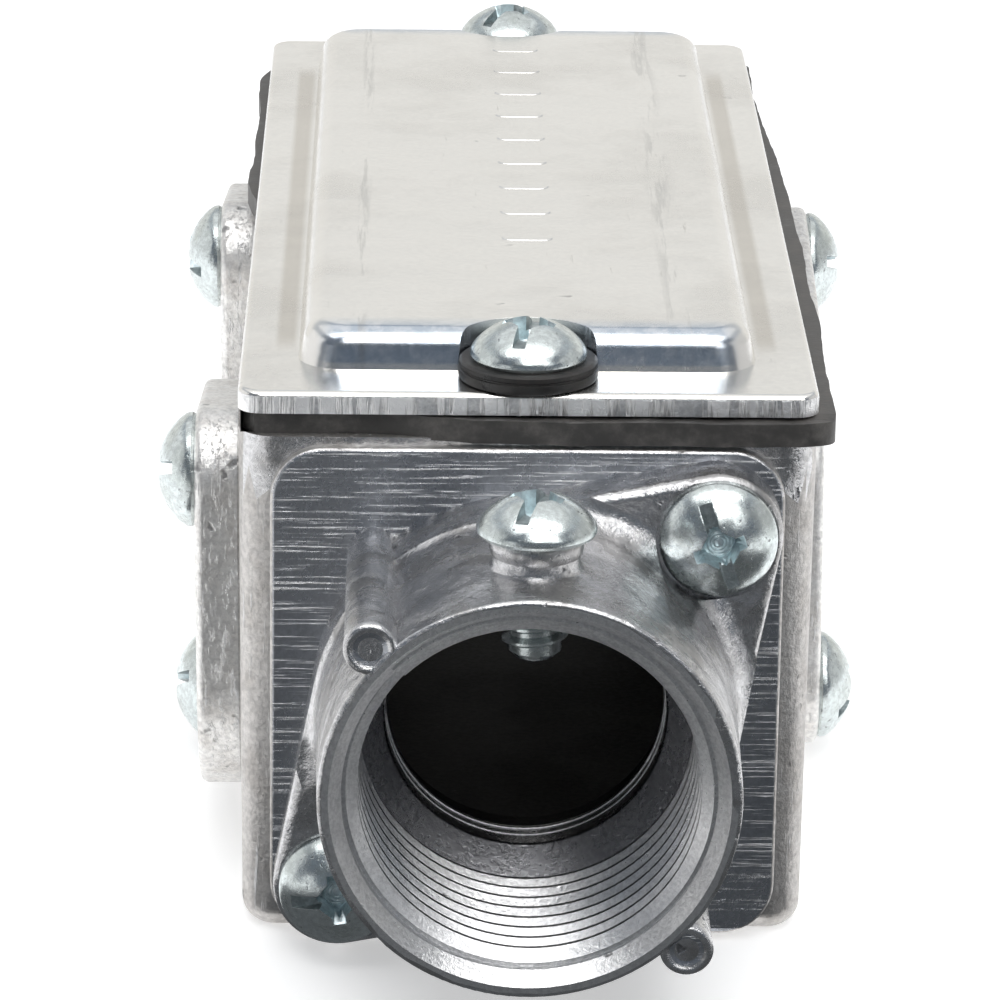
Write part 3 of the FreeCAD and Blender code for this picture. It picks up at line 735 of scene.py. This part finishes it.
def make_bore_thread():
    """The hub's thread, backed into its wall, with a lead-in cone cut across the outer turns."""
    section = [(radius, share * THREAD_PITCH) for radius, share in (
        (CREST_RADIUS, -0.28), (CREST_RADIUS, -0.08), (ROOT_RADIUS, 0.34), (THREAD_BACK, 0.34),
        (THREAD_BACK, -0.46), (ROOT_RADIUS, -0.46))]
    top = HUB_LENGTH - (MOUTH_RADIUS - THREAD_BACK) - THREAD_PITCH / 2
    turns = (top - THREAD_START) / THREAD_PITCH
    thread = helix("bore_thread", section, THREAD_PITCH, turns, 96)
    for corner in thread.data.vertices:
        corner.co.z += THREAD_START * MM
        radius = hypot(corner.co.x, corner.co.y) / MM
        cone = MOUTH_RADIUS - (HUB_LENGTH - corner.co.z / MM)
        if radius < cone:
            corner.co.x *= cone / radius
            corner.co.y *= cone / radius
    close_up(thread)
    return thread


def on_rib_dish(centre, normal):
    """The level floor of a rib's dished end, in the hub's frame."""
    return normal.z > 0.97 and centre.z < HUB_LENGTH - 0.15


def make_rib_ends():
    """The dished ends of a hub's two ribs, in the hub's frame."""
    outline = [(RIB_RADIUS + 0.05, -0.9), (RIB_RADIUS + 0.05, -0.32), (RIB_RADIUS - 0.02, -0.14),
               (RIB_RADIUS - 0.16, -0.03), (RIB_RADIUS - 0.34, -0.02), (RIB_RADIUS - 0.5, -0.1),
               (RIB_RADIUS - 0.64, -0.22), (0.3, -0.3), (POLE, -0.3)]
    across = (BARREL_RADIUS + RIB_STAND) / sqrt(2)
    ends = []
    for side in (-1, 1):
        end = turned("rib_end", [(radius, HUB_LENGTH + high) for radius, high in outline], 48)
        end.location = Vector((side * across, -side * across, 0)) * MM
        bake_place(end)
        ends.append(end)
    made = join(ends)
    finish_faces(made, CAST, (MILLED, on_rib_dish))
    smooth(made, 40)
    return made


def make_throat_lips():
    """Two thin bright lips round the throat, in the hub's frame."""
    lips = []
    for high, thick in THROAT_LIPS:
        bpy.ops.object.select_all(action="DESELECT")
        bpy.ops.mesh.primitive_torus_add(major_segments=120, minor_segments=10, location=(0, 0, high * MM),
                                         major_radius=THROAT_RADIUS * MM, minor_radius=thick * MM)
        lip = bpy.context.object
        bpy.ops.object.mode_set(mode="EDIT")
        bpy.ops.mesh.select_all(action="SELECT")
        bpy.ops.transform.resize(value=(1, 1, 1.5), center_override=(0, 0, high * MM))
        bpy.ops.object.mode_set(mode="OBJECT")
        bake_place(lip)
        lips.append(lip)
    made = join(lips)
    made.data.materials.append(BORED)
    smooth(made, 60)
    return made


def make_boss_collar(node):
    """The rounded rim of the boss that a set screw goes through."""
    low, high = span(node)
    top = SEAT_HEIGHT + BARREL_RADIUS + BOSS_RISE
    collar = turned_ring("collar", [
        (BOSS_RADIUS + 0.02, top - 1.35), (BOSS_RADIUS + 0.16, top - 1.15), (BOSS_RADIUS + 0.22, top - 0.8),
        (BOSS_RADIUS + 0.2, top - 0.4), (BOSS_RADIUS + 0.06, top - 0.12), (BOSS_RADIUS - 0.2, top + 0.02),
        (BOSS_RADIUS - 0.5, top + 0.02)], BOSS_BORE, CAST)
    collar.location = Vector(((low.x + high.x) / 2, (low.y + high.y) / 2, 0)) * MM
    bake_place(collar)
    smooth(collar, 40)
    return collar


bore_thread = make_bore_thread()
throat_lips = make_throat_lips()
rib_ends = make_rib_ends()
for end, side in ((-1, "front"), (1, "rear")):
    hub = merged_copy(side + "_hub", dissolve=0.6)
    finish_faces(hub, CAST, (BORED, in_bore), (THROAT_SHADE, in_throat))
    soften(hub, HUB_EDGE, 3, 42)
    smooth(hub)
    dress(hub, side + "_hub_casting", "conduit_body", "cast_metal", side + "_hub")
    thread = placed_copy(bore_thread, hub_place(end))
    thread.data.materials.append(BORED)
    smooth(thread, 30)
    dress(thread, side + "_hub_thread", "conduit_body", "cast_metal")
    for pattern, label in ((rib_ends, "rib_ends"), (throat_lips, "throat_lips")):
        small = placed_copy(pattern, hub_place(end))
        dress(small, "%s_hub_%s" % (side, label), "conduit_body", "cast_metal")
    dress(make_boss_collar(side + "_set_screw"), side + "_boss_collar", "conduit_body", "cast_metal")
for pattern in (bore_thread, throat_lips, rib_ends):
    bpy.data.objects.remove(pattern)


# --------------------------------------------------------------------------------------------------
# Screws
# --------------------------------------------------------------------------------------------------


def head_rings():
    """The domed pan head's outline from its underside to its crown: a short rim, then one arc."""
    rise = HEAD_HEIGHT - HEAD_RIM
    crown = (HEAD_RADIUS ** 2 + rise ** 2) / (2 * rise)
    rings = [(HEAD_RADIUS - HEAD_UNDERCUT, 0), (HEAD_RADIUS - 0.12, 0.12), (HEAD_RADIUS, HEAD_UNDERCUT),
             (HEAD_RADIUS - 0.02, HEAD_RIM - 0.12), (HEAD_RADIUS - 0.1, HEAD_RIM + 0.08)]
    for step in range(1, HEAD_STEPS + 1):
        radius = (HEAD_RADIUS - 0.1) * (1 - step / HEAD_STEPS) or POLE
        rings.append((radius, HEAD_HEIGHT - crown + sqrt(crown ** 2 - radius ** 2)))
    return rings


def cut_drive(screw):
    """Cuts the drive into a screw's head: a long slot, a cross and a square in one."""
    reach = HEAD_RADIUS + 1
    tools = [(ZINC_SLOT_SHADE, (reach, SLOT_HALF), SLOT_FLOOR, HEAD_HEIGHT + 1, (1, 1.15), 0)]
    tools += [(ZINC_RECESS, (WING_REACH, WING_HALF), WING_FLOOR, DRIVE_TOP, (1.75, 1.9), turn)
              for turn in (0, pi / 2)]
    tools.append((ZINC_RECESS, (SQUARE_HALF, SQUARE_HALF), SQUARE_FLOOR, DRIVE_TOP, (1.35, 1.35), pi / 4))
    for material, (wide, deep), floor, top, top_scale, turn in tools:
        tool = block("tool", Vector((-wide, -deep, floor)), Vector((wide, deep, top)), top_scale, turn)
        tool.data.materials.append(material)
        cut(screw, tool)
    close_up(screw, 0.004)


def make_pit():
    """The rings that the punch leaves in the floor of the square."""
    pit = turned("pit", [(1.15, 0.7), (1.15, 1.0), (0.95, 1.14), (0.86, 1.02), (0.7, 1.1), (0.6, 1.0),
                         (0.44, 1.08), (0.34, 0.99), (0.2, 1.06), (POLE, 1.08)], 40)
    pit.data.materials.append(ZINC_RECESS)
    return pit


def make_shank_thread(length):
    """The ridge that climbs a screw's shank."""
    half = SHANK_PITCH / 2
    section = [(SHANK_ROOT - 0.15, -half * 0.9), (SHANK_RADIUS, -0.09), (SHANK_RADIUS, 0.09),
               (SHANK_ROOT - 0.15, half * 0.9)]
    turns = (length - 2 * SHANK_TIP) / SHANK_PITCH
    thread = helix("shank_thread", section, SHANK_PITCH, turns, 48)
    for corner in thread.data.vertices:
        corner.co.z += (SHANK_TIP - length) * MM
    thread.data.materials.append(ZINC)
    return thread


def make_screw(length):
    """A pan-head screw on the local Z axis, its head's underside at 0, with a threaded shank."""
    shank = [(SHANK_ROOT - 0.5, -length), (SHANK_ROOT, 0.5 - length), (SHANK_ROOT, -0.2), (SHANK_RADIUS, 0)]
    screw = turned("screw", shank + head_rings())
    screw.data.materials.append(ZINC)
    cut_drive(screw)
    pit = make_pit()
    soften(screw, SCREW_EDGE, 2, 38)
    thread = make_shank_thread(length)
    join([thread, pit, screw])
    smooth(screw, 30)
    return screw


# the way out of each screw's head, by the start of its name, where that isn't up
OUT = {"front_hub": (0, -1, 0), "rear_hub": (0, 1, 0), "left": (-1, 0, 0), "right": (1, 0, 0)}
# how far each drive has turned, in degrees, where it is given one by one
DRIVES = {"front_hub_screw_upper": 110, "front_hub_screw_lower": 8, "cover_screw_front": 76,
          "front_set_screw": 70, "left_front_closure_screw_upper": 20, "right_closure_screw_upper": 160}


def screw_place(node):
    """The frame of a screw: its local Z points out of its head, with its drive turned about it."""
    out = next((Vector(way) for start, way in OUT.items() if node.startswith(start) and "set" not in node),
               Vector((0, 0, 1)))
    low, high = span(node)
    middle, half = (low + high) / 2, (high - low) / 2
    seat = middle + out * (abs(half.dot(out)) - HEAD_HEIGHT)
    up = Vector((0, 0, 1)) if out.z < 0.5 else Vector((0, 1, 0))
    frame_turn = Matrix((up.cross(out), up, out)).transposed().to_4x4()
    drive = radians(DRIVES.get(node, DRIVE_SPREAD * len(node) % 180))
    return Matrix.Translation(seat * MM) @ frame_turn @ Matrix.Rotation(drive, 4, "Z")


patterns = {}
for node in NODES:
    if "screw" not in node:
        continue
    low, high = span(node)
    length = round(max(high - low) - HEAD_HEIGHT, 2)
    if length not in patterns:
        patterns[length] = make_screw(length)
    screw = placed_copy(patterns[length], screw_place(node))
    dress(screw, node + "_turned", body_of_node(node), "zinc_steel", node)
for pattern in patterns.values():
    bpy.data.objects.remove(pattern)


# --------------------------------------------------------------------------------------------------
# Cover, gasket, marks and washers
# --------------------------------------------------------------------------------------------------


def raised_panel(name, inset, low, high):
    """The cover's raised panel: a box with round corners, leaning walls and a round crest, scalloped round
    each cover screw. inset draws it smaller."""
    side, end = HALF_WIDTH - PANEL_SIDE - inset, HALF_LENGTH - PANEL_END - inset
    panel = block(name, Vector((-side, -end, low)), Vector((side, end, high)),
                  (1 - PANEL_LEAN / side, 1 - PANEL_LEAN / end))
    round_rim(panel, PANEL_CORNER - inset, 14, upright)
    round_rim(panel, PANEL_CREST, 8, along_top(high))
    for place in (-SCREW_PLACE, SCREW_PLACE):
        scallop = turned("scallop", [(SCALLOP + inset, low - 1), (SCALLOP + inset, low),
                                     (SCALLOP + inset + 0.15, high + 0.2)], 96)
        scallop.location.y = place * MM
        bake_place(scallop)
        cut(panel, scallop)
    close_up(panel, 0.004)
    soften(panel, PANEL_EDGE, 3, 40)
    return panel


def on_sheared_edge(centre, normal):
    """The cut edge all round the cover's sheet."""
    outer = abs(centre.x) > HALF_WIDTH - SHEAR_DEPTH or abs(centre.y) > HALF_LENGTH - SHEAR_DEPTH
    return outer and abs(normal.z) < 0.35 and centre.z < SHEET_TOP


def along_panel_foot(first, second):
    """A test for round_rim: the edge runs where the panel rises from the sheet, clear of the screw holes."""
    side, end = HALF_WIDTH - PANEL_SIDE + 0.2, HALF_LENGTH - PANEL_END + 0.2
    return all(abs(corner.z - SHEET_TOP) < TOUCH and abs(corner.x) < side and abs(corner.y) < end
               and abs(abs(corner.y) - SCREW_PLACE) + abs(corner.x) > SCREW_HOLE + 2.25
               for corner in (first, second))


def make_cover():
    """The pressed cover: a sheet with a raised panel, hollow underneath, and two screw holes."""
    cover = block("cover", Vector((-HALF_WIDTH, -HALF_LENGTH, GASKET_HIGH.z)),
                  Vector((HALF_WIDTH, HALF_LENGTH, SHEET_TOP)))
    round_rim(cover, COVER_CORNER, 10, upright)
    round_rim(cover, SHEET_ROUND, 5, along_top(SHEET_TOP))
    panel = raised_panel("panel", 0, SHEET_TOP - 0.3, COVER_HIGH.z)
    apply(cover, "BOOLEAN", operation="UNION", object=panel, solver="EXACT")
    bpy.data.objects.remove(panel)
    cut(cover, raised_panel("hollow", HOLLOW_INSET, GASKET_HIGH.z - 0.5, COVER_HIGH.z - SHEET_THICK))
    for place in (-SCREW_PLACE, SCREW_PLACE):
        hole = turned("hole", [(SCREW_HOLE, -5), (SCREW_HOLE, 5)])
        hole.location = Vector((0, place, SHEET_TOP)) * MM
        bake_place(hole)
        cut(cover, hole)
    close_up(cover, 0.004)
    round_rim(cover, PANEL_FOOT, 4, along_panel_foot)
    cover.data.materials.clear()
    finish_faces(cover, SHEET, (SHEARED, on_sheared_edge))
    smooth(cover, 30)
    return cover


def make_bar(number):
    """One of the short raised bars that stand for the cover's marks, counted from the rear."""
    middle = FIRST_BAR - Vector((0, BAR_PITCH * number, 0))
    low = middle - BAR_REACH - Vector((0, 0, BAR_SUNK))
    high = middle + BAR_REACH + Vector((0, 0, BAR_RISE))
    bar = block("bar", low, high)
    round_rim(bar, BAR_CORNER, 6, upright)
    round_rim(bar, BAR_ROUND, 3, along_top(COVER_HIGH.z + BAR_RISE))
    bar.data.materials.append(SHEET)
    smooth(bar, 60)
    return bar


def step_up(value, low, high):
    """0 below low, 1 above high, and a smooth rise between."""
    share = min(max((value - low) / (high - low), 0), 1)
    return share * share * (3 - 2 * share)


def crept(point):
    """Where a point of the gasket's outer edge has gone with the rubber's creep, in millimetres: in along
    the right side towards the rear, out along the left side's rear half and in along the rest of it, in at
    the front's left end and down along the rest of the front."""
    wander = noise.noise(Vector((point.x * WANDER_RATE, point.y * WANDER_RATE, 3.7)))
    ripple = noise.noise(Vector((point.x * RIPPLE_RATE, point.y * RIPPLE_RATE, 9.1)))
    moved = point.copy()
    if point.x > HALF_WIDTH - 1:
        moved.x += -SIDE_PINCH * step_up(point.y, -8, 48) + 0.35 * wander + 0.1 * ripple - 0.1
    if point.x < 1 - HALF_WIDTH:
        out = step_up(point.y, -2, 12) * (1 - step_up(point.y, 44, 52))
        moved.x += LEFT_TUCK - LEFT_BULGE * out + 0.4 * wander * out + 0.1 * ripple * out
    if point.y < 1 - HALF_LENGTH:
        pinch = 1 - step_up(point.x, -12, -3)
        moved.y += FRONT_PINCH * pinch + 0.2 * wander + 0.08 * ripple
        moved.z += 0.12 * ripple - FRONT_SAG * (1 - pinch)
    return moved


def along_outside(first, second):
    """A test for round_rim: the edge runs level round the gasket's outside."""
    on_side = min(abs(first.x), abs(second.x)) > HALF_WIDTH - 0.6
    on_end = min(abs(first.y), abs(second.y)) > HALF_LENGTH - 0.4
    return abs(first.z - second.z) < TOUCH and (on_side or on_end)


def make_gasket():
    """The gasket, cut across at every millimetre so that it can creep."""
    gasket = merged_copy("cover_gasket")
    bpy.ops.object.mode_set(mode="EDIT")
    for axis, reach in ((0, HALF_WIDTH), (1, HALF_LENGTH)):
        normal = [0, 0, 0]
        normal[axis] = 1
        for place in range(-int(reach), int(reach) + 1):
            bpy.ops.mesh.select_all(action="SELECT")
            bpy.ops.mesh.bisect(plane_co=Vector(normal) * place * MM, plane_no=normal)
    bpy.ops.object.mode_set(mode="OBJECT")
    round_rim(gasket, GASKET_ROUND, 3, along_outside)
    for corner in gasket.data.vertices:
        corner.co = crept(corner.co / MM) * MM
    finish_faces(gasket, GASKET)
    smooth(gasket, 50)
    return gasket


def make_washer(node):
    """A rubber washer under a cover screw, with a groove pressed round its middle."""
    low, high = span(node)
    radius, thick = (high.x - low.x) / 2, high.z - low.z
    washer = turned_ring(node, [
        (radius - 0.35, 0), (radius - 0.08, 0.1), (radius, 0.3), (radius, thick * 0.52),
        (radius - 0.1, thick * 0.56), (radius - 0.1, thick * 0.62), (radius - 0.02, thick * 0.68),
        (radius - 0.06, thick - 0.18), (radius - 0.3, thick)], SCREW_HOLE, WASHER)
    washer.location = Vector(((low.x + high.x) / 2, (low.y + high.y) / 2, low.z)) * MM
    bake_place(washer)
    smooth(washer, 40)
    return washer


dress(make_cover(), "cover_sheet_pressing", "conduit_body", "cover_sheet", "cover")
dress(make_gasket(), "gasket_strip", "conduit_body", "gasket_rubber", "cover_gasket")
for number in range(BARS):
    dress(make_bar(number), "cover_mark_%d" % (number + 1), "conduit_body", "cover_sheet")
for node in ("cover_washer_front", "cover_washer_rear"):
    dress(make_washer(node), node + "_ring", "conduit_body", "washer_rubber", node)


# --------------------------------------------------------------------------------------------------
# Studio
# --------------------------------------------------------------------------------------------------

# places and sizes of the studio are in metres
FLOOR_HEIGHT = -0.00002
CARD_HEIGHT = 0.001
FLOOR_GLOW = 0.45
FRONT_TONE = (0.12, 0.14, 0.17, 1)
LOW_BACK_TONE = (0.86, 0.85, 0.82, 1)
HIGH_BACK_TONE = (0.45, 0.48, 0.52, 1)
WHITE = (1, 1, 1, 1)


def make_world():
    """Pale behind the object, dark in front of it, and white to the camera."""
    world = bpy.data.worlds.new("studio")
    bpy.context.scene.world = world
    world.use_nodes = True
    tree = world.node_tree
    way = add(tree, "SeparateXYZ", {0: add(tree, "TexCoord").outputs["Generated"]}).outputs
    behind = blend(tree, ramp(tree, way["Z"], 0.34, 0.5), LOW_BACK_TONE, HIGH_BACK_TONE)
    room = blend(tree, ramp(tree, way["Y"], -0.2, 0.2), FRONT_TONE, behind)
    seen = add(tree, "LightPath").outputs["Is Camera Ray"]
    tree.links.new(blend(tree, seen, room, WHITE), tree.nodes["Background"].inputs["Color"])
    tree.nodes["Background"].inputs["Strength"].default_value = 1.0


def card(name, centre, aim, width, height, glow, color=(1, 1, 1), mirrored_only=False):
    """A glowing card that faces aim, in metres, unseen by the camera. Where mirrored_only is set, only
    reflections see it, so the floor under it keeps its light."""
    bpy.ops.object.select_all(action="DESELECT")
    bpy.ops.mesh.primitive_plane_add(size=1)
    made = bpy.context.object
    made.name = name
    facing = (Vector(aim) - Vector(centre)).to_track_quat("Z", "Y").to_matrix().to_4x4()
    made.matrix_world = (Matrix.Translation(Vector(centre)) @ facing
                         @ Matrix.Diagonal((width, height, 1, 1)))
    material = bpy.data.materials.new(name)
    material.use_nodes = True
    tree = material.node_tree
    tree.nodes.remove(tree.nodes["Principled BSDF"])
    shine = add(tree, "Emission", {"Color": (*color, 1), "Strength": glow})
    tree.links.new(shine.outputs[0], tree.nodes["Material Output"].inputs["Surface"])
    made.data.materials.append(material)
    made.visible_camera = False
    made.visible_shadow = False
    made.visible_diffuse = not mirrored_only


def floor_card(name, centre, width, height, glow, color=(1, 1, 1)):
    """A card that lies just above the floor, face up, for reflections only."""
    x, y = centre
    card(name, (x, y, CARD_HEIGHT), (x, y, 1), width, height, glow, color, mirrored_only=True)


def make_floor():
    """A pale floor that looks white to the camera and in reflections, and keeps the object's shadow."""
    bpy.ops.object.select_all(action="DESELECT")
    bpy.ops.mesh.primitive_plane_add(size=6, location=(0, 0, FLOOR_HEIGHT))
    floor = bpy.context.object
    floor.name = "floor"
    material = bpy.data.materials.new("pale_floor")
    material.use_nodes = True
    tree = material.node_tree
    shader = tree.nodes["Principled BSDF"]
    shader.inputs["Base Color"].default_value = (0.82, 0.82, 0.82, 1)
    shader.inputs["Roughness"].default_value = 0.9
    path = add(tree, "LightPath").outputs
    seen = math(tree, "MAXIMUM", path["Is Camera Ray"], path["Is Glossy Ray"])
    seen = math(tree, "MAXIMUM", seen, path["Is Transmission Ray"])
    shader.inputs["Emission Color"].default_value = WHITE
    tree.links.new(times(tree, seen, FLOOR_GLOW), shader.inputs["Emission Strength"])
    floor.data.materials.append(material)


COOL = (0.9, 0.95, 1.0)
COOLER = (0.82, 0.92, 1.0)

make_world()
make_floor()
card("overhead_box", centre=(0, 0.3, 0.75), aim=(0, 0.3, 0), width=1.2, height=0.9, glow=0.9)
card("key_box", centre=(0, -0.21, 0.72), aim=(0, -0.05, 0.02), width=0.9, height=0.24, glow=3.6)
card("bore_box", centre=(0.04, -0.54, 0.57), aim=(0, -0.07, 0), width=0.34, height=0.34, glow=4.2)
card("right_front_box", centre=(0.38, -0.54, 0.48), aim=(0, 0, 0.03), width=0.22, height=0.46, glow=2.2)
card("left_low_box", centre=(-0.5, -0.5, 0.06), aim=(0, 0, 0.03), width=0.24, height=0.2, glow=1.0)
card("left_box", centre=(-0.8, 0.12, 0.3), aim=(0, 0.12, 0.1), width=0.9, height=0.6, glow=0.9)
card("right_box", centre=(0.8, 0.12, 0.3), aim=(0, 0.12, 0.1), width=0.9, height=0.6, glow=0.62)
floor_card("near_dark_card", centre=(0.025, -0.126), width=0.13, height=0.148, glow=0.12, color=COOL)
floor_card("left_floor_card", centre=(-0.068, -0.13), width=0.055, height=0.15, glow=1.0)
floor_card("far_dark_card", centre=(0, -0.85), width=3, height=1.3, glow=0.14, color=COOL)
card("front_fill", centre=(0, -1.0, 0.5), aim=(0, 0, 0.02), width=1.4, height=0.45, glow=0.16, color=COOLER)


# --------------------------------------------------------------------------------------------------
# Camera
# --------------------------------------------------------------------------------------------------

# the lens's place and its focal length in millimetres
CAMERA_PLACE = Vector((-8.79, -434.24, 165.15))
LENS = 199.11
PITCH, YAW, ROLL = radians(18.883), radians(1.015), radians(0.79)

lens = bpy.data.cameras.new("camera")
lens.sensor_width = 36
lens.lens = LENS
lens.clip_start = 0.01
lens.clip_end = 20
camera = bpy.data.objects.new("camera", lens)
bpy.context.scene.collection.objects.link(camera)
camera.matrix_world = (Matrix.Translation(CAMERA_PLACE * MM)
                       @ Matrix.Rotation(-YAW, 4, "Z") @ Matrix.Rotation(pi / 2 - PITCH, 4, "X")
                       @ Matrix.Rotation(ROLL, 4, "Z"))
bpy.context.scene.camera = camera

bpy.context.scene.view_settings.view_transform = "Standard"
